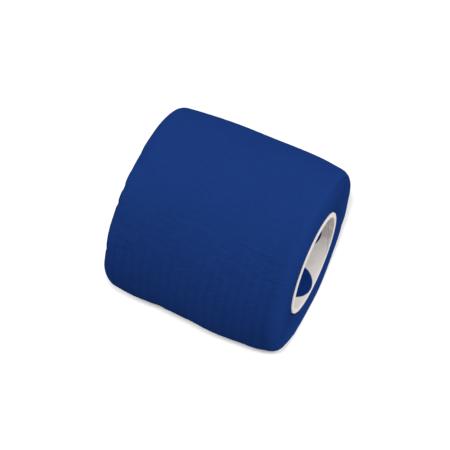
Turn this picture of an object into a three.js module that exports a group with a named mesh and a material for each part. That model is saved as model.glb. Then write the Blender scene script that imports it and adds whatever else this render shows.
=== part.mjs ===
// A roll of cohesive bandage wound on a paper core, lying on its side on a flat surface.
// Millimetres, +Z up, the roll's axis along X. The origin is on the surface, under the roll's middle.
import * as THREE from "three";

// Core: a white paper tube that stands a little proud of the bandage at both ends
const coreLength = 50.8;
const coreDiameter = 29.0;
const coreWall = 1.6;
const coreEdgeBreak = 0.2; // softens the cut edges of the tube
const coreSteps = 72;

// Bandage: one long strip wound tight on the core
const boreGap = 0.3; // between the core and the first turn
const boreRadius = coreDiameter / 2 + boreGap;
const crownRadius = 27.35; // the middle of the roll is its widest place
const crownDrop = 1.2; // radius lost between the middle and a shoulder
const shoulderRadius = crownRadius - crownDrop;
const shoulderDepth = 3.4; // length of the rounded edge along the axis
const shoulderHeight = 3.3; // height of the rounded edge along the radius
const shoulderFullness = 2.2; // 2 is an ellipse, more is squarer
const shoulderSteps = 6;
const crownSteps = 10;
const turnSteps = 96;

// The outer end of the strip is pressed down on the last turn, low on the back of the roll
const layerPitch = 0.45; // thickness of one turn under winding tension
const tailAround = 236; // degrees from the top, over the front and under the roll
const tailStepLength = 0.5; // length of the step down at the strip's cut end

// The roll's own weight and softness press a small flat spot into its underside
const restHeight = 26.95; // height of the axis above the surface

// The end faces, from the bore outwards: how far the turns reach along the axis, left and right
const endRows = [
  { fromBore: 0.0, left: 24.85, right: 24.7 },
  { fromBore: 2.4, left: 25.1, right: 24.85 },
  { fromBore: 5.2, left: 25.05, right: 24.95 },
];
const outerReach = { left: 25.1, right: 25.05 }; // where the rounded edges begin

// Soft swells of the winding: places and spreads along the axis in mm and around it in degrees
const swells = [
  { along: 14, around: 115, rise: 0.34, spreadAlong: 9, spreadAround: 38 },
  { along: -6, around: 112, rise: -0.4, spreadAlong: 8, spreadAround: 34 },
  { along: -21, around: -55, rise: -0.34, spreadAlong: 6, spreadAround: 42 },
  { along: 20, around: -58, rise: -0.16, spreadAlong: 6, spreadAround: 34 },
  { along: 4, around: -62, rise: -0.28, spreadAlong: 10, spreadAround: 30 },
  { along: 10, around: 262, rise: 0.22, spreadAlong: 9, spreadAround: 26 },
];

// The edges of the turns wander a little along the axis on their way round, but not next to the core
const wanderStart = 18; // distance from the middle of the roll where the wander begins
const wanderFull = 24;
const wanderDepth = 1 / 3; // share of the wound cloth's depth over which it grows from the bore
const edgeWaves = [
  { waves: 2, swing: 0.12, phase: 0.6, twist: 0.35 },
  { waves: 5, swing: 0.09, phase: 2.1, twist: 0.8 },
  { waves: 9, swing: 0.06, phase: 4.4, twist: -0.6 },
];

const bandageColour = 0x1a397b;
const coreColour = 0xe6ded8;

const degrees = THREE.MathUtils.degToRad;

// Rounded edge from an end face to the crown, on the right-hand end: [radius, reach] pairs
function shoulderPoints(reach) {
  const points = [];
  const faceRadius = shoulderRadius - shoulderHeight;
  for (let step = 0; step <= shoulderSteps; step++) {
    const turn = (step / shoulderSteps) * (Math.PI / 2);
    const outward = Math.sin(turn) ** (2 / shoulderFullness);
    const inward = 1 - Math.cos(turn) ** (2 / shoulderFullness);
    points.push([faceRadius + shoulderHeight * outward, reach - shoulderDepth * inward]);
  }
  return points;
}

// One end of the profile, from the bore to the end of its rounded edge
function endPoints(end) {
  const facePoints = endRows.map((row) => [boreRadius + row.fromBore, row[end]]);
  return [...facePoints, ...shoulderPoints(outerReach[end])];
}

// Closed section of the bandage in its radial plane: x is the radius and y the place along the axis
function bandageProfile() {
  const left = endPoints("left").map(([radius, reach]) => [radius, -reach]);
  const right = endPoints("right");
  const crownStart = left[left.length - 1][1];
  const crownEnd = right[right.length - 1][1];
  const crown = [];
  for (let step = 1; step < crownSteps; step++) {
    const along = THREE.MathUtils.lerp(crownStart, crownEnd, step / crownSteps);
    const fromMiddle = along / (along < 0 ? -crownStart : crownEnd);
    crown.push([crownRadius - crownDrop * fromMiddle ** 2, along]);
  }
  const outline = [...left, ...crown, ...right.reverse(), left[0]];
  return outline.map(([radius, along]) => new THREE.Vector2(radius, along));
}

// Height of the soft swells at one place on the outside
function swellAt(along, around) {
  let rise = 0;
  for (const swell of swells) {
    const aside = (along - swell.along) / swell.spreadAlong;
    const apart = THREE.MathUtils.euclideanModulo(around - swell.around + 180, 360) - 180;
    rise += swell.rise * Math.exp(-(aside ** 2) - (apart / swell.spreadAround) ** 2);
  }
  return rise;
}

// Wandering of the turns' edges along the axis, at one place on an end
function edgeWanderAt(radius, along, around, depth) {
  let wander = 0;
  for (const wave of edgeWaves) {
    wander += wave.swing * Math.sin(wave.waves * degrees(around) + wave.phase + wave.twist * radius);
  }
  const towardsEnd = THREE.MathUtils.smoothstep(Math.abs(along), wanderStart, wanderFull);
  return wander * towardsEnd * Math.min(1, depth / wanderDepth);
}

// The wound bandage: its section is turned about the axis, then given its growing radius, its step
// at the strip's end, its swells and its flat spot
function woundBandage() {
  const profile = bandageProfile();
  const geometry = new THREE.LatheGeometry(profile, turnSteps);
  const position = geometry.attributes.position;
  for (let index = 0; index < position.count; index++) {
    const column = Math.floor(index / profile.length) % turnSteps;
    const { x: radius, y: along } = profile[index % profile.length];
    const isBeforeStep = column === turnSteps - 1;
    const stepDegrees = THREE.MathUtils.radToDeg(tailStepLength / crownRadius);
    const turned = isBeforeStep ? 360 - stepDegrees : (column / turnSteps) * 360;
    const around = tailAround + turned;
    const depth = (radius - boreRadius) / (crownRadius - boreRadius);
    const spiral = layerPitch * (turned / 360 - 0.5);
    const wound = radius + depth * (spiral + swellAt(along, around));
    const placed = along + edgeWanderAt(radius, along, around, depth);
    const angle = degrees(around);
    const height = Math.max(wound * Math.cos(angle), -restHeight);
    position.setXYZ(index, placed, -wound * Math.sin(angle), height);
  }
  geometry.computeVertexNormals();
  return geometry;
}

// The paper tube, its section closed on itself
function coreTube() {
  const outer = coreDiameter / 2;
  const inner = outer - coreWall;
  const half = coreLength / 2;
  const corners = [
    [inner, half - coreEdgeBreak],
    [inner, -half + coreEdgeBreak],
    [inner + coreEdgeBreak, -half],
    [outer - coreEdgeBreak, -half],
    [outer, -half + coreEdgeBreak],
    [outer, half - coreEdgeBreak],
    [outer - coreEdgeBreak, half],
    [inner + coreEdgeBreak, half],
    [inner, half - coreEdgeBreak],
  ];
  const profile = corners.map(([radius, along]) => new THREE.Vector2(radius, along));
  const geometry = new THREE.LatheGeometry(profile, coreSteps);
  geometry.rotateZ(-Math.PI / 2);
  return geometry;
}

const bandage = new THREE.Mesh(
  woundBandage(),
  new THREE.MeshStandardMaterial({ color: bandageColour, roughness: 0.95, metalness: 0 }),
);
bandage.name = "bandage";

const core = new THREE.Mesh(
  coreTube(),
  new THREE.MeshStandardMaterial({ color: coreColour, roughness: 0.7, metalness: 0 }),
);
core.name = "core";

const roll = new THREE.Group();
roll.add(bandage, core);
roll.position.z = restHeight;

export default roll;
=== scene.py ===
# A roll of cohesive crepe bandage, wound on a paper core and lying on its side.
# Metres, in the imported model's own frame: +Z up, the roll's axis along X.
import math

import bpy
import numpy as np
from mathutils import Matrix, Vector
from mathutils.bvhtree import BVHTree


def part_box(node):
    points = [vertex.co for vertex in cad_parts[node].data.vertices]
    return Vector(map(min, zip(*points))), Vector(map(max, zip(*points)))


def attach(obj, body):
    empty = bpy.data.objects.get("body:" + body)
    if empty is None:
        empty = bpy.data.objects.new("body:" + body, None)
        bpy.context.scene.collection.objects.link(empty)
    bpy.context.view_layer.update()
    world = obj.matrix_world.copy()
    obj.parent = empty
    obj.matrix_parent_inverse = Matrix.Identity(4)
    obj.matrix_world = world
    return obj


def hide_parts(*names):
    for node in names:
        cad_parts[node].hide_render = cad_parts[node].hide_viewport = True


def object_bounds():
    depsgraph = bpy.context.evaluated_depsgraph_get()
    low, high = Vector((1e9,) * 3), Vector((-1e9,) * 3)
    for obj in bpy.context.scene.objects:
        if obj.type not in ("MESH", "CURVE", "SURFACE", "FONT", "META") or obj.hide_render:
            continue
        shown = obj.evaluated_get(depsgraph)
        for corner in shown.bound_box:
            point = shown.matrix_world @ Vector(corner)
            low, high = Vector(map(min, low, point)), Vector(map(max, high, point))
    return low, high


mm = 0.001

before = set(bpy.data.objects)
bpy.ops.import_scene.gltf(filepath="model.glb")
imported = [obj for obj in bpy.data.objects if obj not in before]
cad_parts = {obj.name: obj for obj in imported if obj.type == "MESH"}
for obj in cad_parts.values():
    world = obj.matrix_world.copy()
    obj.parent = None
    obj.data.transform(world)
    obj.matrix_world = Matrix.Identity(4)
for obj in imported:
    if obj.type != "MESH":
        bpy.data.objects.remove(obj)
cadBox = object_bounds()

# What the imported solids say
coreLow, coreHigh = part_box("core")
axisHeight = (coreLow.z + coreHigh.z) / 2
coreRadius = (coreHigh.z - coreLow.z) / 2
coreHalf = (coreHigh.x - coreLow.x) / 2
print(f"frame read: axis {axisHeight / mm:.2f} mm up, core {coreRadius / mm:.2f} mm in radius")

# How the strip is wound. Degrees go from the top, over the front and under the roll
winding = {
    "pitch": 0.45 * mm,  # thickness of one turn under tension
    "tailAround": 236,  # where the strip's outer end is pressed down, low on the back
    "innerTopRadius": 24.575 * mm,  # outside of the last hidden turn
    "meanRadius": 27.3 * mm,  # for lengths measured round the roll
}


class Wire:  # one output of a node, so that maths on it reads as a plain expression
    def __init__(self, sheet, node, output=0):
        self.sheet = sheet
        self.node = node
        self.socket = node.outputs[output] if node.outputs else None

    def output(self, name):
        return Wire(self.sheet, self.node, name)

    def maths(self, operation, *values):
        return self.sheet.add("ShaderNodeMath", {"operation": operation}, dict(enumerate(values)))

    def __add__(self, other):
        return self.maths("ADD", self, other)

    def __radd__(self, other):
        return self.maths("ADD", other, self)

    def __sub__(self, other):
        return self.maths("SUBTRACT", self, other)

    def __rsub__(self, other):
        return self.maths("SUBTRACT", other, self)

    def __mul__(self, other):
        return self.maths("MULTIPLY", self, other)

    def __rmul__(self, other):
        return self.maths("MULTIPLY", other, self)

    def __truediv__(self, other):
        return self.maths("DIVIDE", self, other)

    def __pow__(self, other):
        return self.maths("POWER", self, other)


class NodeSheet:  # writes the nodes of one tree
    def __init__(self, tree):
        self.tree = tree
        tree.nodes.clear()

    def add(self, kind, settings=None, sockets=None, output=0):
        node = self.tree.nodes.new(kind)
        for name, value in (settings or {}).items():
            setattr(node, name, value)
        for name, value in (sockets or {}).items():
            if isinstance(value, Wire):
                self.tree.links.new(value.socket, node.inputs[name])
            else:
                node.inputs[name].default_value = value
        return Wire(self, node, output)


def vectorMaths(operation, first, second, output=0):
    settings = {"operation": operation}
    return first.sheet.add("ShaderNodeVectorMath", settings, {0: first, 1: second}, output)


def noise(place, scale, detail=2.0, roughness=0.5):
    sockets = {"Vector": place, "Scale": scale, "Detail": detail, "Roughness": roughness}
    return place.sheet.add("ShaderNodeTexNoise", {}, sockets)


def between(value, low, high):  # 0 below low, 1 above high, smooth in between
    sockets = {"Value": value, "From Min": low, "From Max": high}
    return value.sheet.add("ShaderNodeMapRange", {"interpolation_type": "SMOOTHSTEP"}, sockets)


def mixColour(factor, first, second):
    settings = {"data_type": "RGBA"}
    return factor.sheet.add("ShaderNodeMix", settings, {0: factor, 6: first, 7: second}, output=2)


def bump(height, distance, strength):
    sockets = {"Height": height, "Distance": distance, "Strength": strength}
    return height.sheet.add("ShaderNodeBump", {}, sockets)


def fromAxis(place):  # distance from the roll's axis
    apart = place.sheet.add("ShaderNodeSeparateXYZ", {}, {"Vector": place})
    aside = apart.output("Y")
    above = apart.output("Z") - axisHeight
    return (aside * aside + above * above) ** 0.5


def geometryTree(name, inputs):
    tree = bpy.data.node_groups.new(name, "GeometryNodeTree")
    tree.interface.new_socket("Geometry", in_out="OUTPUT", socket_type="NodeSocketGeometry")
    for label, kind in inputs.items():
        tree.interface.new_socket(label, in_out="INPUT", socket_type=kind)
    return tree


def meshFromTree(name, tree, values):
    piece = bpy.data.objects.new(name, bpy.data.meshes.new(name))
    bpy.context.scene.collection.objects.link(piece)
    modifier = piece.modifiers.new(name, "NODES")
    modifier.node_group = tree
    for item in tree.interface.items_tree:
        if item.in_out == "INPUT":
            modifier[item.identifier] = values[item.name]
    graph = bpy.context.evaluated_depsgraph_get()
    mesh = bpy.data.meshes.new_from_object(
        piece.evaluated_get(graph), preserve_all_data_layers=True, depsgraph=graph
    )
    piece.modifiers.remove(modifier)
    piece.data = mesh
    mesh.name = name
    return piece


def smoothStep(values, low, high):
    share = np.clip((values - low) / (high - low), 0, 1)
    return share * share * (3 - 2 * share)


def unevenness(along, across, spread, seed):  # smooth random heights from -1 to 1
    heights = np.random.default_rng(seed).uniform(-1, 1, (512, 512))
    column = along / spread[0]
    row = across / spread[1]
    firstColumn = np.floor(column).astype(int)
    firstRow = np.floor(row).astype(int)
    columnShare = smoothStep(column - firstColumn, 0, 1)
    rowShare = smoothStep(row - firstRow, 0, 1)

    def height(columnStep, rowStep):
        return heights[(firstColumn + columnStep) % 512, (firstRow + rowStep) % 512]

    near = height(0, 0) * (1 - rowShare) + height(0, 1) * rowShare
    far = height(1, 0) * (1 - rowShare) + height(1, 1) * rowShare
    return near * (1 - columnShare) + far * columnShare


def runningAverage(values, reach, axis):
    margins = [(0, 0), (0, 0)]
    margins[axis] = (reach, reach)
    padded = np.pad(values, margins, mode="edge")
    width = 2 * reach + 1
    return np.apply_along_axis(np.convolve, axis, padded, np.ones(width) / width, "valid")


def closedGridMesh(name, places, material):
    # places is a grid of points that closes on itself both ways
    columns, rows = places.shape[:2]
    corner = np.arange(columns * rows).reshape(columns, rows)
    nextColumn = np.roll(corner, -1, axis=0)
    faces = np.stack(
        [corner, nextColumn, np.roll(nextColumn, -1, axis=1), np.roll(corner, -1, axis=1)], axis=-1
    )
    mesh = bpy.data.meshes.new(name)
    mesh.from_pydata(places.reshape(-1, 3), [], faces.reshape(-1, 4))
    mesh.polygons.foreach_set("use_smooth", np.ones(len(mesh.polygons), bool))
    mesh.materials.append(material)
    piece = bpy.data.objects.new(name, mesh)
    bpy.context.scene.collection.objects.link(piece)
    return piece


def storeUv(mesh, name, columnPlaces, rowPlaces):
    # one more place each way than the grid has, so that the closing faces don't run backwards
    columns = len(columnPlaces) - 1
    rows = len(rowPlaces) - 1
    column, row = np.meshgrid(np.arange(columns), np.arange(rows), indexing="ij")
    columnCorners = np.stack([column, column + 1, column + 1, column], axis=-1).ravel()
    rowCorners = np.stack([row, row, row + 1, row + 1], axis=-1).ravel()
    uv = np.stack([columnPlaces[columnCorners], rowPlaces[rowCorners]], axis=-1)
    mesh.uv_layers.new(name=name).data.foreach_set("uv", uv.ravel())


def storeValues(mesh, name, values):
    mesh.attributes.new(name, "FLOAT", "POINT").data.foreach_set("value", values.ravel())


# The camera stands over the roll's front, turned a little to its right-hand end
cameraView = {
    "azimuth": 25.02,
    "elevation": 61.0,
    "distance": 0.559,
    "lens": 166.8,
    "aimLeft": 0.82 * mm,
    "aimUp": 0.86 * mm,
}


def wayTo(azimuth, elevation):
    turn = math.radians(azimuth)
    rise = math.radians(elevation)
    level = math.cos(rise)
    return Vector((math.sin(turn) * level, -math.cos(turn) * level, math.sin(rise)))


def makeCamera(view):
    turn = math.radians(view["azimuth"])
    back = wayTo(view["azimuth"], view["elevation"])
    right = Vector((math.cos(turn), math.sin(turn), 0))
    up = back.cross(right)
    centre = (cadBox[0] + cadBox[1]) / 2
    camera = bpy.data.objects.new("camera", bpy.data.cameras.new("camera"))
    camera.data.lens = view["lens"]
    camera.data.clip_start = 0.01
    place = centre + back * view["distance"]
    camera.location = place - right * view["aimLeft"] + up * view["aimUp"]
    camera.rotation_euler = back.to_track_quat("Z", "Y").to_euler()
    bpy.context.scene.collection.objects.link(camera)
    bpy.context.scene.camera = camera


makeCamera(cameraView)
print("camera placed")

# Colours are linear
finishes = {
    # clothDeep and clothEdge are the cloth's darker and lighter ends: the mix between them carries
    # painted light and shade as well as the cloth's own tone
    "clothDeep": (0.0080, 0.0290, 0.137, 1),
    "clothEdge": (0.0118, 0.0446, 0.207, 1),
    "thread": (0.030, 0.085, 0.30, 1),
    "paper": (0.86, 0.82, 0.785, 1),
    "paperGrey": (0.52, 0.475, 0.47, 1),
    "ink": (0.0006, 0.0245, 0.170, 1),
    "floor": (0.1, 0.1, 0.1, 1),
}


def newMaterial(name, roughness, specular):
    material = bpy.data.materials.new(name)
    material.use_nodes = True
    sheet = NodeSheet(material.node_tree)
    shader = sheet.add("ShaderNodeBsdfPrincipled", {}, {
        "Roughness": roughness,
        "Specular IOR Level": specular,
    }, output="BSDF")
    sheet.add("ShaderNodeOutputMaterial", {}, {"Surface": shader})
    return material, sheet, shader.node


def feed(sheet, shader, socket, value):
    sheet.tree.links.new(value.socket, shader.inputs[socket])


def crepeCloth():
    material, sheet, shader = newMaterial("crepeCloth", 0.96, 0.0)
    place = sheet.add("ShaderNodeTexCoord", {}, {}, output="Object")
    strip = sheet.add("ShaderNodeUVMap", {"uv_map": "strip"})
    paintedShading = sheet.add("ShaderNodeAttribute", {"attribute_name": "paintedShading"}, {}, output="Fac")
    thread = sheet.add("ShaderNodeAttribute", {"attribute_name": "thread"}, {}, output="Fac")
    fibres = noise(place, 5200, 3.0, 0.6)
    clumps = noise(place, 900)
    cloudy = noise(place, 60)
    crinkle = noise(vectorMaths("MULTIPLY", strip, (2.6, 0.55, 1.0)), 1.0, 2.0, 0.55)
    # paintedShading is painted light and shade on the crepe; the noises are the cloth's own tone
    lift = paintedShading * 0.6 + (fibres - 0.5) * 0.7 + (clumps - 0.5) * 0.5 + (cloudy - 0.5) * 0.5
    # painted shade darkens the cloth along the thread grooves
    shade = between(lift - thread * 0.22, -0.9, 0.95)
    colour = mixColour(shade, finishes["clothDeep"], finishes["clothEdge"])
    feed(sheet, shader, "Base Color", colour)
    height = fibres * 0.35 + clumps * 0.3 + crinkle * 0.8
    feed(sheet, shader, "Normal", bump(height, 0.05 * mm, 0.7))
    return material


def stripEdgeCloth():  # the inner turns' edges, with painted shade darker towards the core
    material, sheet, shader = newMaterial("stripEdgeCloth", 0.96, 0.0)
    place = sheet.add("ShaderNodeTexCoord", {}, {}, output="Object")
    fibres = noise(place, 4200, 3.0, 0.6)
    clumps = noise(place, 700)
    outward = between(fromAxis(place), 15 * mm, 24 * mm)
    # painted light on the outer turns' edges and painted shade on the inner ones, beside the noises'
    # own tone
    lift = (fibres - 0.5) * 0.9 + (clumps - 0.5) * 0.8 + (outward - 0.5) * 0.36
    shade = between(lift, -0.9, 0.5)
    colour = mixColour(shade, finishes["clothDeep"], finishes["clothEdge"])
    feed(sheet, shader, "Base Color", colour)
    feed(sheet, shader, "Normal", bump(fibres * 0.4 + clumps * 0.6, 0.08 * mm, 0.8))
    return material


# The core's inside: one paper strip wound in a helix, with plain round dots along its middle.
# Millimetres, round the bore and along the axis
printing = {
    "boreRound": 82.31,
    "stripWidth": 14.79,
    "slant": 10.35,  # degrees
    "seamWidth": (0.04, 0.3),  # half of it, sharp and faded
    "dotRadius": 5.5,
    "dotSoftness": 0.12,
    "dotPitch": 15.7,
    "firstDot": (39.97, 19.7),
    "dotsInGroup": 2,
    "groupLength": 6,  # counted in dots, the ones left out with them
    "plyThickness": 0.4,
    # A band round the bore, in mm from its top, where painted shade darkens the wall
    "paintedShadeFrom": (44, 60),
    "paintedShadeUpTo": (70, 80),
}


def paperboard(design):
    material, sheet, shader = newMaterial("paperboard", 0.9, 0.04)
    place = sheet.add("ShaderNodeTexCoord", {}, {}, output="Object")
    ply = sheet.add("ShaderNodeUVMap", {"uv_map": "ply"})
    bore = sheet.add("ShaderNodeAttribute", {"attribute_name": "bore"}, {}, output="Fac")

    # Places across and along the wound paper strip
    slantSine = math.sin(math.radians(design["slant"]))
    slantCosine = math.cos(math.radians(design["slant"]))
    apart = sheet.add("ShaderNodeSeparateXYZ", {}, {"Vector": ply})
    around = apart.output("X") - design["firstDot"][0]
    along = apart.output("Y") - design["firstDot"][1]
    across = around * slantSine + along * slantCosine
    turn = across.maths("ROUND", across / design["stripWidth"])
    across = across - turn * design["stripWidth"]
    onStrip = around * slantCosine - along * slantSine
    onStrip = onStrip - turn * (design["boreRound"] * slantCosine)
    dot = onStrip.maths("ROUND", onStrip / design["dotPitch"])
    fromDot = onStrip - dot * design["dotPitch"]
    fromMiddle = (fromDot * fromDot + across * across) ** 0.5
    inGroup = dot.maths("FLOORED_MODULO", dot + 0.5, design["groupLength"])
    printed = bore * inGroup.maths("LESS_THAN", inGroup, design["dotsInGroup"])

    fibres = noise(vectorMaths("MULTIPLY", ply, (0.9, 3.0, 1.0)), 1.0, 4.0, 0.6)
    grain = noise(place, 3500, 3.0, 0.6)
    smudge = noise(place, 150)
    worn = (fibres - 0.5) * 0.9 + (grain - 0.5) * 0.5
    blurred = fromMiddle + (grain - 0.5) * 0.25
    dotRadius = design["dotRadius"]
    softness = design["dotSoftness"]
    inked = printed * (1 - between(blurred, dotRadius - softness, dotRadius + softness))
    inked = inked * (0.985 + between(grain + fibres, 0.7, 1.2) * 0.015)
    fromSeam = design["stripWidth"] / 2 - across.maths("ABSOLUTE", across)
    seam = bore * (1 - between(fromSeam, *design["seamWidth"]))

    # The cut rim shows the paper's plies
    plies = fromAxis(place) * (2 * math.pi / (design["plyThickness"] * mm)) + (grain - 0.5) * 2.5
    plies = (1 - bore) * between(plies.maths("SINE", plies), 0.4, 1.0)

    # Painted shade darkens the bore's back wall, fading out towards its bottom and its top
    paintedShade = between(apart.output("X"), *design["paintedShadeFrom"])
    paintedShade = paintedShade * (1 - between(apart.output("X"), *design["paintedShadeUpTo"])) * bore
    grey = paintedShade * 0.5 + between(smudge, 0.54, 0.7) * 0.3 * bore
    grey = grey + worn * 0.3 + seam * 0.25 + plies * 0.3 + 0.08
    colour = mixColour(between(grey, 0.0, 1.0), finishes["paper"], finishes["paperGrey"])
    colour = mixColour(inked, colour, finishes["ink"])
    feed(sheet, shader, "Base Color", colour)
    height = fibres * 0.3 + grain * 0.2 - seam * 0.7 - plies * 0.5
    feed(sheet, shader, "Normal", bump(height, 0.06 * mm, 0.8))
    return material


def threadRubber():
    material, sheet, shader = newMaterial("threadRubber", 0.6, 0.3)
    place = sheet.add("ShaderNodeTexCoord", {}, {}, output="Object")
    colour = mixColour(noise(place, 3000), finishes["clothDeep"], finishes["thread"])
    feed(sheet, shader, "Base Color", colour)
    return material


cloth = crepeCloth()
edgeCloth = stripEdgeCloth()
board = paperboard(printing)
rubber = threadRubber()
print("materials made")

# The outer turn: crepe puckers between elastic threads that run round the roll
outerTurn = {
    "columns": 764,
    "threadPitch": 2.7 * mm,
    "threads": 19,
    "rowShares": (0, 0.09, 0.3, 0.5, 0.7, 0.91),  # rows of each stretch between two threads
    "selvedge": 0.6 * mm,  # beyond the last thread
    # The skeleton inside the cloth, from which its surface is measured
    "shoulderStart": 21.65 * mm,
    "skeletonRadius": 22.85 * mm,
    "shoulderBend": 3.35 * mm,
    # The crepe's depths
    "puckerPitch": 1.12 * mm,
    "puckerDepth": 0.1 * mm,
    "barDepth": 0.07 * mm,
    "grooveDepth": 0.03 * mm,
    "grooveWidth": 0.2 * mm,
    "archPower": 0.25,  # how full the puckers are between two threads
    "swellDepth": 0.12 * mm,
    "standOut": 0.03 * mm,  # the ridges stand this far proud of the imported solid
    # Where the crepe comes in and fades, in degrees: the strip is least stretched low on the front
    "looseFrom": (8, 42),
    "puckersFrom": (30, 60),
    "threadsFrom": (38, 70),
    "barsUpTo": (45, 80),
    "crepeUpTo": (200, 285),
    "slant": 0.4,  # degrees later for each mm across
    "plainFrom": (22.3 * mm, 24.6 * mm),  # across the strip, whose edges are plain
    # The two edges and the cut end
    "edgeWander": 0.16 * mm,
    "edgeFrom": (21 * mm, 24.9 * mm),
    "cutAt": 359.3,  # degrees from the start of the turn to its cut end
    "castUpTo": 358.4,  # just beyond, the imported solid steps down
    "cutSway": 0.7,  # degrees that the cut end strays
    "cutFrom": (350, 6),  # degrees from which it strays before the cut, and up to which beyond it
    "tailLift": 0.16 * mm,
    "liftFrom": 354,
    "cornerTuck": 0.3 * mm,  # how far the cut end's corners are pressed in
    "tuckFrom": 351,
    "shoulderFrom": (20 * mm, 24.5 * mm),
    "shouldersOut": (-0.15 * mm, 0.36 * mm),  # left and right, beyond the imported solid
    # The rounded edge, down to the turn below: share of the way, and how far it bulges
    "lip": (
        (0.25, 0.1 * mm),
        (0.55, 0.14 * mm),
        (0.88, 0.09 * mm),
        (1.12, -0.08 * mm),
        (0.95, -0.45 * mm),
    ),
    # Random layers: spread along and across the strip in mm, and a seed. With 1000 across, a layer
    # stays the same all across the strip, or has one value for each of its sides
    "layers": {
        "patch": (6, 5, 13),
        "sway": (9, 7.3, 11),
        "drift": (7, 6, 17),
        "crumple": (0.42, 1.1, 31),
        "softCrumple": (1.1, 0.8, 32),
        "longBars": (0.55, 10, 14),
        "shortBars": (0.32, 3.4, 15),
        "swell": (13, 9, 16),
        "cut": (3.1, 1000, 21),
        "fineCut": (0.9, 1000, 22),
        "edge": (14, 1000, 23),
        "fineEdge": (3, 1000, 24),
    },
    # Dents and bulges: along, around, rise, spread along and spread around, in mm and degrees
    "dents": (
        (-24.6, 10, -0.68, 3.0, 5.5),
        (-24.6, 27.5, -0.3, 2.0, 2.2),
        (-24.6, 38, -0.25, 2.0, 1.6),
        (-24.6, 33, 0.2, 3.0, 14),
        (-24.6, 58, 0.22, 3.0, 10),
        (-24.6, 70, -0.15, 2.0, 2.0),
        (-24.6, 88, 0.16, 3.0, 9),
        (-22, -62, 0.34, 5.0, 20),
        (-16, -62, 0.1, 4.0, 20),
        (-11.3, 114, 0.12, 1.2, 10),
        (-9.5, 114, -0.55, 4.5, 16),
        (-7.2, 114, 0.12, 1.2, 10),
        (-4.5, 114, -0.12, 3.0, 16),
        (0.5, 114, -0.28, 3.5, 16),
        (19.2, 114, 0.34, 3.2, 16),
        (24.5, 114, -0.18, 2.5, 20),
        (24.6, 140, -0.28, 3.0, 10),
        (24.6, 181, 0.15, 3.0, 14),
        (24.6, 247, 0.2, 3.5, 10),
        (10, -62, 0.1, 6.0, 22),
        (18, -62, 0.38, 6.0, 18),
    ),
}


def layer(sizes, name, along, across):
    spreadAlong, spreadAcross, seed = sizes["layers"][name]
    return unevenness(along, across, (spreadAlong * mm, spreadAcross * mm), seed)


def stripRows(sizes):  # places across the strip, in pairs beside each thread
    half = (sizes["threads"] - 1) / 2 * sizes["threadPitch"]
    rows = []
    for cell in range(sizes["threads"] - 1):
        for share in sizes["rowShares"]:
            rows.append((cell + share) * sizes["threadPitch"] - half)
    edge = half + sizes["selvedge"]
    nearEdge = edge - sizes["selvedge"] / 2
    return np.array([-edge, -nearEdge, *rows, half, nearEdge, edge])


def castSurface(around, across, sizes):
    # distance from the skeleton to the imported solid's outside, with the way it was measured
    past = np.maximum(np.abs(across) - sizes["shoulderStart"], 0)
    tilt = past / sizes["shoulderBend"]
    startAlong = np.sign(across) * np.minimum(np.abs(across), sizes["shoulderStart"])
    outAlong = np.sign(across) * np.sin(tilt)
    outward = np.cos(tilt)
    solid = BVHTree.FromObject(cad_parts["bandage"], bpy.context.evaluated_depsgraph_get())
    distance = np.zeros(around.shape)
    for column in range(around.shape[0]):
        for row in range(around.shape[1]):
            front = -math.sin(around[column, row])
            high = math.cos(around[column, row])
            radius = sizes["skeletonRadius"]
            start = Vector((startAlong[column, row], radius * front, axisHeight + radius * high))
            outR = outward[column, row]
            direction = Vector((outAlong[column, row], outR * front, outR * high))
            distance[column, row] = solid.ray_cast(start, direction)[3]
    return distance, startAlong, outAlong, outward


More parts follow.
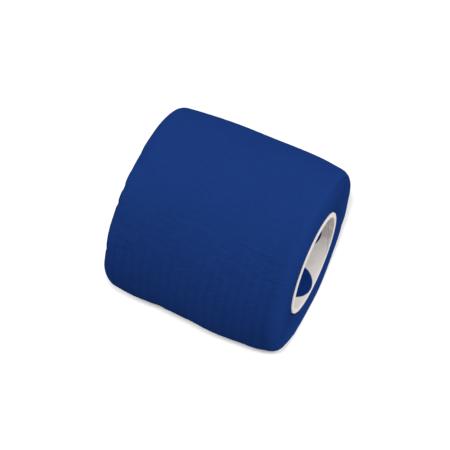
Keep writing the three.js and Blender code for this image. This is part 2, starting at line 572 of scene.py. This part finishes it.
def crepeRelief(along, across, sizes):
    # how far the surface lies under its highest places, the painted light and shade on it, and the
    # threads' strength
    pitch = sizes["threadPitch"]
    half = (sizes["threads"] - 1) / 2 * pitch
    cellPlace = (across + half) / pitch
    cell = np.clip(np.floor(cellPlace), 0, sizes["threads"] - 2)
    share = np.clip(cellPlace - cell, 0, 1)

    # What shows at each place round the roll
    around = (np.degrees(along / winding["meanRadius"]) + winding["tailAround"]) % 360
    backFade = 1 - smoothStep(around, *sizes["crepeUpTo"])
    around = around + across / mm * sizes["slant"]
    fade = 1 - smoothStep(np.abs(across), *sizes["plainFrom"])
    loose = 0.14 + 0.86 * smoothStep(around, *sizes["looseFrom"]) * backFade
    loose = loose * (0.7 + 0.3 * layer(sizes, "patch", along, across)) * fade
    threadsShow = 0.06 + 0.94 * smoothStep(around, *sizes["threadsFrom"]) * backFade
    puckersShow = 0.7 + 0.3 * smoothStep(around, *sizes["puckersFrom"])
    barsShow = 1 - 0.6 * smoothStep(around, *sizes["barsUpTo"])

    # Puckers, each in its own stretch between two threads
    ownPlace = cell * 40 * mm + share * pitch
    sway = layer(sizes, "sway", along, cell * 7.3 * mm)
    drift = layer(sizes, "drift", along, across)
    waves = np.cos(2 * math.pi * (along / sizes["puckerPitch"] + 0.5 * sway + 0.9 * drift))
    crumple = layer(sizes, "crumple", along, ownPlace)
    crumple = crumple + 0.4 * layer(sizes, "softCrumple", along, ownPlace)
    pucker = np.clip(0.4 * waves + 0.9 * crumple, -1, 1)
    arch = np.sin(math.pi * share) ** sizes["archPower"]
    arch = 1 - (1 - arch) * (0.25 + 0.75 * threadsShow)
    puff = (0.5 + 0.5 * pucker) * arch

    # Bars that run across several threads
    bars = 0.6 * layer(sizes, "longBars", along, across)
    bars = (bars + layer(sizes, "shortBars", along, across)) * barsShow

    # the thread grooves' profile, which deepens them and lays painted shade in them
    fromThread = np.abs(cellPlace - np.round(cellPlace)) * pitch
    thread = np.exp(-((fromThread / sizes["grooveWidth"]) ** 2)) * threadsShow * fade
    thread = thread * (0.65 + 0.35 * crumple)

    swell = 0.5 + 0.5 * layer(sizes, "swell", along, across)
    depth = sizes["puckerDepth"] * (1 - puff) * loose * puckersShow
    depth = depth + sizes["barDepth"] * (0.5 + 0.5 * bars) * loose
    depth = depth + sizes["grooveDepth"] * thread
    depth = depth + sizes["swellDepth"] * swell * (0.35 + 0.65 * fade)
    # Painted light and shade: lighter on the puckers' tops, darker in their hollows and along the
    # bars, and lighter on the plain shoulders
    light = (1.1 * (puff - 0.8) * puckersShow - 0.4 * bars) * loose + 0.3 * (1 - fade)
    return depth, light, thread


def pressDents(distance, around, across, dents):
    for dentAlong, dentAround, rise, spreadAlong, spreadAround in dents:
        apart = (np.degrees(around) - dentAround + 180) % 360 - 180
        aside = (across / mm - dentAlong) / spreadAlong
        distance = distance + rise * mm * np.exp(-(aside ** 2) - (apart / spreadAround) ** 2)
    return distance


def turnEdgesDown(x, r, floorRadius, lip):
    # the edges are turned down onto the last hidden turn, and the strip is closed inside
    rightX = [x[:, -1:] + beyond for share, beyond in lip]
    rightR = [r[:, -1:] + share * (floorRadius - r[:, -1:]) for share, beyond in lip]
    leftX = [x[:, :1] - beyond for share, beyond in reversed(lip)]
    leftR = [r[:, :1] + share * (floorRadius - r[:, :1]) for share, beyond in reversed(lip)]
    x = np.concatenate([x, *rightX, *leftX], axis=1)
    r = np.concatenate([r, *rightR, *leftR], axis=1)
    return x, r


def makeOuterTurn(sizes):
    turned = np.linspace(0, sizes["cutAt"], sizes["columns"])
    turned, across = np.meshgrid(turned, stripRows(sizes), indexing="ij")
    fromMiddle = np.abs(across)

    # The cut end strays a little, and what lies under it with it
    sway = layer(sizes, "cut", across, across * 0)
    sway = sway + 0.4 * layer(sizes, "fineCut", across, across * 0)
    beforeCut, beyondCut = sizes["cutFrom"]
    nearCut = smoothStep(turned, beforeCut, sizes["cutAt"]) + 1 - smoothStep(turned, 0, beyondCut)
    shown = turned + nearCut * sway * sizes["cutSway"]
    around = np.radians(winding["tailAround"] + np.clip(shown, 0.05, sizes["castUpTo"]))
    along = np.radians(shown) * winding["meanRadius"]

    # The strip's edges wander along the axis on their way round
    side = np.sign(across)
    wander = layer(sizes, "edge", along, side) + 0.5 * layer(sizes, "fineEdge", along, side)
    placed = across + wander * smoothStep(fromMiddle, *sizes["edgeFrom"]) * sizes["edgeWander"]

    distance, startAlong, outAlong, outward = castSurface(around, placed, sizes)
    distance = runningAverage(runningAverage(distance, 4, 0), 4, 0)
    distance = runningAverage(distance, 1, 1)
    depth, paintedShading, thread = crepeRelief(along, across, sizes)
    lift = smoothStep(shown, sizes["liftFrom"], sizes["cutAt"] + sizes["cutSway"]) ** 2
    lift = sizes["tailLift"] * lift * (1 + 0.6 * sway)
    tuck = smoothStep(shown, sizes["tuckFrom"], sizes["cutAt"])
    tuck = sizes["cornerTuck"] * tuck * smoothStep(fromMiddle, *sizes["shoulderFrom"])
    distance = distance + sizes["standOut"] - depth + lift - tuck
    distance = pressDents(distance, around, across, sizes["dents"])

    leftOut, rightOut = sizes["shouldersOut"]
    x = startAlong + outAlong * distance
    x = x + smoothStep(placed, *sizes["shoulderFrom"]) * rightOut
    x = x - smoothStep(-placed, *sizes["shoulderFrom"]) * leftOut
    r = sizes["skeletonRadius"] + outward * distance
    floorRadius = winding["innerTopRadius"] - winding["pitch"] * (1 - turned[:, :1] / 360)
    x, r = turnEdgesDown(x, r, floorRadius, sizes["lip"])

    lipRows = len(sizes["lip"])
    angle = np.radians(winding["tailAround"] + shown)
    angle = np.concatenate([angle] + [angle[:, -1:]] * lipRows + [angle[:, :1]] * lipRows, axis=1)
    height = np.maximum(axisHeight + r * np.cos(angle), 0)
    piece = closedGridMesh("outerTurn", np.stack([x, -r * np.sin(angle), height], axis=-1), cloth)

    plain = np.zeros((sizes["columns"], 2 * lipRows))
    # painted light and shade for the cloth's colour
    storeValues(piece.data, "paintedShading", np.concatenate([paintedShading, plain], axis=1))
    # painted shade along the thread grooves, for the cloth's colour
    storeValues(piece.data, "thread", np.concatenate([thread, plain], axis=1))
    columnPlaces = np.append(along[:, 0], along[-1, 0] + 0.3 * mm) / mm
    lipPlaces = across[0, -1] + np.arange(1, 2 * lipRows + 2) * 0.2 * mm
    storeUv(piece.data, "strip", columnPlaces, np.append(across[0], lipPlaces) / mm)
    return piece


outer = makeOuterTurn(outerTurn)
print(f"outer turn made: {len(outer.data.polygons)} faces")

# The hidden turns, of which only the edges show at the two ends
innerTurns = {
    "firstRadius": 14.745 * mm,
    "gap": 0.02 * mm,
    "halfWidth": 25 * mm,
    "pointsPerTurn": 200,
    "edgeRound": 0.1 * mm,
    "edgeWander": 0.11 * mm,
    "standOut": 0.36 * mm,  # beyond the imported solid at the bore, where it is most
    "outermostOut": (-0.4 * mm, 0.28 * mm),  # at the outermost of them, left and right
    "coreShows": 0.26 * mm,  # the core stands at least this far out
    "castFrom": 14.95 * mm,  # just inside the solid's bore
}


def woundStripTree():
    tree = geometryTree("woundStrip", {
        "Solid": "NodeSocketObject",
        "Turns": "NodeSocketFloat",
        "Points per Turn": "NodeSocketInt",
        "First Radius": "NodeSocketFloat",
        "Last Radius": "NodeSocketFloat",
        "Thickness": "NodeSocketFloat",
        "Half Width": "NodeSocketFloat",
        "Edge Round": "NodeSocketFloat",
        "Edge Wander": "NodeSocketFloat",
        "Stand Out": "NodeSocketFloat",
        "Left Outermost": "NodeSocketFloat",
        "Right Outermost": "NodeSocketFloat",
        "Furthest Reach": "NodeSocketFloat",
        "Cast From": "NodeSocketFloat",
        "Start Angle": "NodeSocketFloat",
        "Axis Height": "NodeSocketFloat",
        "Material": "NodeSocketMaterial",
    })
    sheet = NodeSheet(tree)
    given = sheet.add("NodeGroupInput")

    def size(name):
        return given.output(name)

    spiral = sheet.add("GeometryNodeCurveSpiral", {}, {
        "Resolution": size("Points per Turn"),
        "Rotations": size("Turns"),
        "Start Radius": size("First Radius"),
        "End Radius": size("Last Radius"),
        "Height": 0.0,
    })
    turn = sheet.add("GeometryNodeInputIndex") / size("Points per Turn")
    onPoints = {"data_type": "FLOAT", "domain": "POINT"}
    marked = sheet.add("GeometryNodeStoreNamedAttribute", onPoints, {
        "Geometry": spiral,
        "Name": "turn",
        "Value": turn,
    })
    upright = sheet.add("GeometryNodeSetCurveNormal", {"mode": "Z_UP"}, {"Curve": marked})
    section = sheet.add("GeometryNodeCurvePrimitiveQuadrilateral", {"mode": "RECTANGLE"}, {
        "Width": size("Thickness"),
        "Height": size("Half Width") * 2,
    })
    section = sheet.add("GeometryNodeFilletCurve", {"mode": "POLY"}, {
        "Curve": section,
        "Count": 2,
        "Radius": size("Edge Round"),
        "Limit Radius": True,
    })
    strip = sheet.add("GeometryNodeCurveToMesh", {}, {
        "Curve": upright,
        "Profile Curve": section,
        "Fill Caps": True,
    })
    startTurn = sheet.add("ShaderNodeCombineXYZ", {}, {"Z": size("Start Angle")})
    strip = sheet.add("GeometryNodeTransform", {}, {"Geometry": strip, "Rotation": startTurn})
    lifted = sheet.add("ShaderNodeCombineXYZ", {}, {"Z": size("Axis Height")})
    strip = sheet.add("GeometryNodeTransform", {}, {
        "Geometry": strip,
        "Translation": lifted,
        "Rotation": (math.pi, -math.pi / 2, 0),
    })

    # Each turn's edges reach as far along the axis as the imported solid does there
    place = sheet.add("GeometryNodeInputPosition")
    apart = sheet.add("ShaderNodeSeparateXYZ", {}, {"Vector": place})
    along = apart.output("X")
    side = along.maths("SIGN", along)
    above = apart.output("Z") - size("Axis Height")
    aside = apart.output("Y")
    radius = (aside * aside + above * above) ** 0.5
    castRadius = radius.maths("MAXIMUM", radius, size("Cast From"))
    scale = castRadius / radius
    castPlace = sheet.add("ShaderNodeCombineXYZ", {}, {
        "Y": aside * scale,
        "Z": above * scale + size("Axis Height"),
    })
    castWay = sheet.add("ShaderNodeCombineXYZ", {}, {"X": side})
    solid = sheet.add("GeometryNodeObjectInfo", {}, {"Object": size("Solid")}, output="Geometry")
    hit = sheet.add("GeometryNodeRaycast", {}, {
        "Target Geometry": solid,
        "Source Position": castPlace,
        "Ray Direction": castWay,
        "Ray Length": 0.1,
    }, output="Hit Distance")

    # They stray on their way round, and stand out a little more near the core
    number = {"data_type": "FLOAT"}
    turnHere = sheet.add("GeometryNodeInputNamedAttribute", number, {"Name": "turn"})
    noisePlace = sheet.add("ShaderNodeCombineXYZ", {}, {
        "X": aside / radius * 1.6 + side * 5,
        "Y": above / radius * 1.6,
        "Z": turnHere * 2.3,
    })
    stray = (noise(noisePlace, 1.0, 3.0, 0.6) - 0.5) * 2 * size("Edge Wander")
    onRight = side * 0.5 + 0.5
    leftOutermost = size("Left Outermost")
    outermost = leftOutermost + onRight * (size("Right Outermost") - leftOutermost)
    outward = between(radius, size("First Radius"), size("Last Radius"))
    out = size("Stand Out") + outward * (outermost - size("Stand Out"))
    surface = hit.maths("MINIMUM", hit + out, size("Furthest Reach"))
    reach = surface + stray - (size("Half Width") - along.maths("ABSOLUTE", along))
    newPlace = sheet.add("ShaderNodeCombineXYZ", {}, {
        "X": side * reach,
        "Y": aside,
        "Z": apart.output("Z"),
    })
    strip = sheet.add("GeometryNodeSetPosition", {}, {"Geometry": strip, "Position": newPlace})
    strip = sheet.add("GeometryNodeSetShadeSmooth", {}, {"Geometry": strip, "Shade Smooth": True})
    strip = sheet.add("GeometryNodeRealizeInstances", {}, {"Geometry": strip})
    strip = sheet.add("GeometryNodeSetMaterial", {}, {
        "Geometry": strip,
        "Material": size("Material"),
    })
    sheet.add("NodeGroupOutput", {}, {"Geometry": strip})
    return tree


def makeInnerTurns(sizes):
    thickness = winding["pitch"] - sizes["gap"]
    lastRadius = winding["innerTopRadius"] - thickness / 2
    turns = (lastRadius - sizes["firstRadius"]) / winding["pitch"]
    return meshFromTree("innerTurns", woundStripTree(), {
        "Solid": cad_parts["bandage"],
        "Turns": turns,
        "Points per Turn": sizes["pointsPerTurn"],
        "First Radius": sizes["firstRadius"],
        "Last Radius": lastRadius,
        "Thickness": thickness,
        "Half Width": sizes["halfWidth"],
        "Edge Round": sizes["edgeRound"],
        "Edge Wander": sizes["edgeWander"],
        "Stand Out": sizes["standOut"],
        "Left Outermost": sizes["outermostOut"][0],
        "Right Outermost": sizes["outermostOut"][1],
        "Furthest Reach": coreHalf - sizes["coreShows"],
        "Cast From": sizes["castFrom"],
        "Start Angle": math.radians(winding["tailAround"] - 360 * (turns % 1)),
        "Axis Height": axisHeight,
        "Material": edgeCloth,
    })


inner = makeInnerTurns(innerTurns)
print(f"inner turns wound: {len(inner.data.polygons)} faces")

# The elastic threads stand out a little where the strip was cut
threadEnds = {
    "length": 1.6 * mm,
    "lengthShares": (0.3, 1.1),
    "thickness": 0.18 * mm,
    "bend": 0.3 * mm,
    "inside": 0.25 * mm,  # how much of each lies in the cloth
    "strayFrom": (-0.35, -0.8, -0.45),  # radians: outwards, round itself and aside
    "strayUpTo": (0.05, 0.8, 0.45),
    "pastCut": 1.5,  # degrees beyond the cut from which its edge is looked for
    "heightShare": 0.9,  # of the way up to the outside
    "seed": 5,
}


def threadEndsTree():
    tree = geometryTree("threadEnds", {
        "Cloth": "NodeSocketObject",
        "Threads": "NodeSocketInt",
        "Spacing": "NodeSocketFloat",
        "First Place": "NodeSocketVector",
        "Turned": "NodeSocketFloat",
        "Length": "NodeSocketFloat",
        "Shortest": "NodeSocketFloat",
        "Longest": "NodeSocketFloat",
        "Thickness": "NodeSocketFloat",
        "Bend": "NodeSocketFloat",
        "Inside": "NodeSocketFloat",
        "Stray From": "NodeSocketVector",
        "Stray Up To": "NodeSocketVector",
        "Seed": "NodeSocketInt",
        "Material": "NodeSocketMaterial",
    })
    sheet = NodeSheet(tree)
    given = sheet.add("NodeGroupInput")

    def size(name):
        return given.output(name)

    # One point for each thread, moved onto the strip's cut edge
    step = sheet.add("ShaderNodeCombineXYZ", {}, {"X": size("Spacing")})
    line = sheet.add("GeometryNodeMeshLine", {"mode": "OFFSET", "count_mode": "TOTAL"}, {
        "Count": size("Threads"),
        "Start Location": size("First Place"),
        "Offset": step,
    })
    strip = sheet.add("GeometryNodeObjectInfo", {}, {"Object": size("Cloth")}, output="Geometry")
    edge = sheet.add("GeometryNodeProximity", {"target_element": "FACES"}, {"Geometry": strip})
    line = sheet.add("GeometryNodeSetPosition", {}, {"Geometry": line, "Position": edge})

    # A thread end runs along Y and bends towards the outside, which is -Z before it is turned
    inside = sheet.add("ShaderNodeCombineXYZ", {}, {"Y": 0 - size("Inside")})
    middle = sheet.add("ShaderNodeCombineXYZ", {}, {"Y": size("Length") * 0.6})
    tip = sheet.add("ShaderNodeCombineXYZ", {}, {"Y": size("Length"), "Z": 0 - size("Bend")})
    path = sheet.add("GeometryNodeCurveQuadraticBezier", {}, {
        "Resolution": 8,
        "Start": inside,
        "Middle": middle,
        "End": tip,
    })
    section = sheet.add("GeometryNodeCurvePrimitiveCircle", {"mode": "RADIUS"}, {
        "Resolution": 8,
        "Radius": size("Thickness") / 2,
    })
    stub = sheet.add("GeometryNodeCurveToMesh", {}, {
        "Curve": path,
        "Profile Curve": section,
        "Fill Caps": True,
    })

    stray = sheet.add("FunctionNodeRandomValue", {"data_type": "FLOAT_VECTOR"}, {
        0: size("Stray From"),
        1: size("Stray Up To"),
        8: size("Seed"),
    })
    strayed = sheet.add("FunctionNodeEulerToRotation", {}, {"Euler": stray})
    alongStrip = sheet.add("ShaderNodeCombineXYZ", {}, {"X": size("Turned")})
    alongStrip = sheet.add("FunctionNodeEulerToRotation", {}, {"Euler": alongStrip})
    turned = sheet.add("FunctionNodeRotateRotation", {"rotation_space": "GLOBAL"}, {
        "Rotation": strayed,
        "Rotate By": alongStrip,
    })
    longer = sheet.add("FunctionNodeRandomValue", {"data_type": "FLOAT"}, {
        2: size("Shortest"),
        3: size("Longest"),
        8: size("Seed") + 1,
    }, output=1)
    grown = sheet.add("ShaderNodeCombineXYZ", {}, {"X": 1.0, "Y": longer, "Z": 1.0})
    ends = sheet.add("GeometryNodeInstanceOnPoints", {}, {
        "Points": line,
        "Instance": stub,
        "Rotation": turned,
        "Scale": grown,
    })
    ends = sheet.add("GeometryNodeRealizeInstances", {}, {"Geometry": ends})
    ends = sheet.add("GeometryNodeSetShadeSmooth", {}, {"Geometry": ends, "Shade Smooth": True})
    ends = sheet.add("GeometryNodeSetMaterial", {}, {
        "Geometry": ends,
        "Material": size("Material"),
    })
    sheet.add("NodeGroupOutput", {}, {"Geometry": ends})
    return tree


def makeThreadEnds(sizes):
    cutAround = math.radians(winding["tailAround"] + outerTurn["cutAt"])
    around = cutAround + math.radians(sizes["pastCut"])
    floorRadius = winding["innerTopRadius"]
    topRadius = winding["meanRadius"] + winding["pitch"]
    radius = floorRadius + (topRadius - floorRadius) * sizes["heightShare"]
    first = (outerTurn["threads"] - 1) / -2 * outerTurn["threadPitch"]
    return meshFromTree("threadEnds", threadEndsTree(), {
        "Cloth": outer,
        "Threads": outerTurn["threads"],
        "Spacing": outerTurn["threadPitch"],
        "First Place": (first, -radius * math.sin(around), axisHeight + radius * math.cos(around)),
        "Turned": cutAround - math.pi,
        "Length": sizes["length"],
        "Shortest": sizes["lengthShares"][0],
        "Longest": sizes["lengthShares"][1],
        "Thickness": sizes["thickness"],
        "Bend": sizes["bend"],
        "Inside": sizes["inside"],
        "Stray From": sizes["strayFrom"],
        "Stray Up To": sizes["strayUpTo"],
        "Seed": sizes["seed"],
        "Material": rubber,
    })


looseEnds = makeThreadEnds(threadEnds)
print(f"thread ends set: {len(looseEnds.data.polygons)} faces")

# The paper tube
tube = {
    "wall": 1.4 * mm,
    "steps": 192,
    "boreRows": 41,
    "innerRound": 0.18 * mm,
    "outerRound": 0.45 * mm,
    "cornerTurns": (22.5, 45, 67.5),  # degrees
    "rimShares": (0.13, 0.28, 0.42, 0.56, 0.68),  # rows of the cut rim, in shares of the wall
    "shellRow": 3 * mm,  # from each cut end, where the outside has its second row
}


def makeTube(sizes):
    outside = coreRadius
    inside = coreRadius - sizes["wall"]
    innerRound = sizes["innerRound"]
    outerRound = sizes["outerRound"]
    boreEnd = coreHalf - innerRound
    bore = [(inside, along) for along in np.linspace(boreEnd, -boreEnd, sizes["boreRows"])]
    turns = np.radians(sizes["cornerTurns"])
    corners = [(1 - math.cos(turn), 1 - math.sin(turn)) for turn in turns]
    cut = -coreHalf
    innerCorner = [(inside + innerRound * aside, cut + innerRound * down) for aside, down in corners]
    rim = [(inside + sizes["wall"] * share, cut) for share in sizes["rimShares"]]
    outerCorner = [
        (outside - outerRound * down, cut + outerRound * aside) for aside, down in corners
    ]
    shell = [(outside, cut + outerRound), (outside, cut + sizes["shellRow"])]
    half = bore[sizes["boreRows"] // 2:] + innerCorner + rim + outerCorner + shell
    mirrored = [(radius, -along) for radius, along in reversed(half[1:])]
    outline = np.array(half + mirrored)

    angle = np.linspace(0, 2 * math.pi, sizes["steps"], endpoint=False)[:, None]
    radius = outline[None, :, 0]
    along = outline[None, :, 1] + 0 * angle
    height = axisHeight + radius * np.cos(angle)
    places = np.stack([along, -radius * np.sin(angle), height], axis=-1)
    piece = closedGridMesh("paperTube", places, board)
    columnPlaces = np.linspace(0, 2 * math.pi * inside, sizes["steps"] + 1) / mm
    rowPlaces = np.append(outline[:, 1], outline[0, 1]) / mm
    storeUv(piece.data, "ply", columnPlaces, rowPlaces)
    storeValues(piece.data, "bore", (radius < inside + 0.01 * mm) * np.ones(places.shape[:2]))
    return piece


paperTube = makeTube(tube)
print(f"paper tube made: {len(paperTube.data.polygons)} faces")

# Stage and light: a white floor under a soft sky, brightest over the roll's back and right-hand
# end, and two soft lamps a little above the camera that throw its faint shadow on the floor
studio = {
    "floorHalf": 3.0,
    "floorGlow": 0.36,
    "skyStrength": 0.8,
    "skySlope": 0.665,
    "skyBright": (0.316, 0.246, 0.917),  # the way to its brightest place
    "lampTurns": (-12, 5.4),  # degrees from the camera's azimuth
    "lampRaised": 5.6,
    "lampAcross": 3.4,
    "lampStrength": 11,
}


def makeFloor(sizes):
    half = sizes["floorHalf"]
    corners = [(-half, -half, 0), (half, -half, 0), (half, half, 0), (-half, half, 0)]
    mesh = bpy.data.meshes.new("floor")
    mesh.from_pydata(corners, [], [(0, 1, 2, 3)])
    material, sheet, shader = newMaterial("whiteFloor", 1.0, 0.0)
    shader.inputs["Base Color"].default_value = finishes["floor"]
    shader.inputs["Emission Color"].default_value = (1, 1, 1, 1)
    shader.inputs["Emission Strength"].default_value = sizes["floorGlow"]
    mesh.materials.append(material)
    floor = bpy.data.objects.new("floor", mesh)
    floor.visible_diffuse = False  # the sky's lower half lights the roll from below instead
    bpy.context.scene.collection.objects.link(floor)
    return floor


def makeLamps(sizes, view, floor):
    litByLamps = bpy.data.collections.new("litByLamps")
    litByLamps.objects.link(floor)
    for lampTurn in sizes["lampTurns"]:
        towards = wayTo(view["azimuth"] + lampTurn, view["elevation"] + sizes["lampRaised"])
        lamp = bpy.data.objects.new("lamp", bpy.data.lights.new("lamp", "SUN"))
        lamp.data.energy = sizes["lampStrength"]
        lamp.data.angle = math.radians(sizes["lampAcross"])
        lamp.rotation_euler = towards.to_track_quat("Z", "Y").to_euler()
        lamp.light_linking.receiver_collection = litByLamps
        bpy.context.scene.collection.objects.link(lamp)


def makeSky(sizes):
    world = bpy.data.worlds.new("studio")
    world.use_nodes = True
    sheet = NodeSheet(world.node_tree)
    way = sheet.add("ShaderNodeTexCoord", output="Generated")
    towards = vectorMaths("DOT_PRODUCT", way, sizes["skyBright"], output="Value")
    strength = towards * sizes["skySlope"] + sizes["skyStrength"]
    light = sheet.add("ShaderNodeBackground", {}, {"Color": (1, 1, 1, 1), "Strength": strength})
    sheet.add("ShaderNodeOutputWorld", {}, {"Surface": light})
    bpy.context.scene.world = world


floor = makeFloor(studio)
makeLamps(studio, cameraView, floor)
makeSky(studio)
bpy.context.scene.view_settings.view_transform = "Standard"
print("stage lit")

dressed = ((outer, "bandage"), (inner, "bandage"), (looseEnds, "bandage"), (paperTube, "core"))
for piece, node in dressed:
    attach(piece, "root")
for piece, node in ((outer, "bandage"), (inner, "bandage"), (paperTube, "core")):
    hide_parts(node)
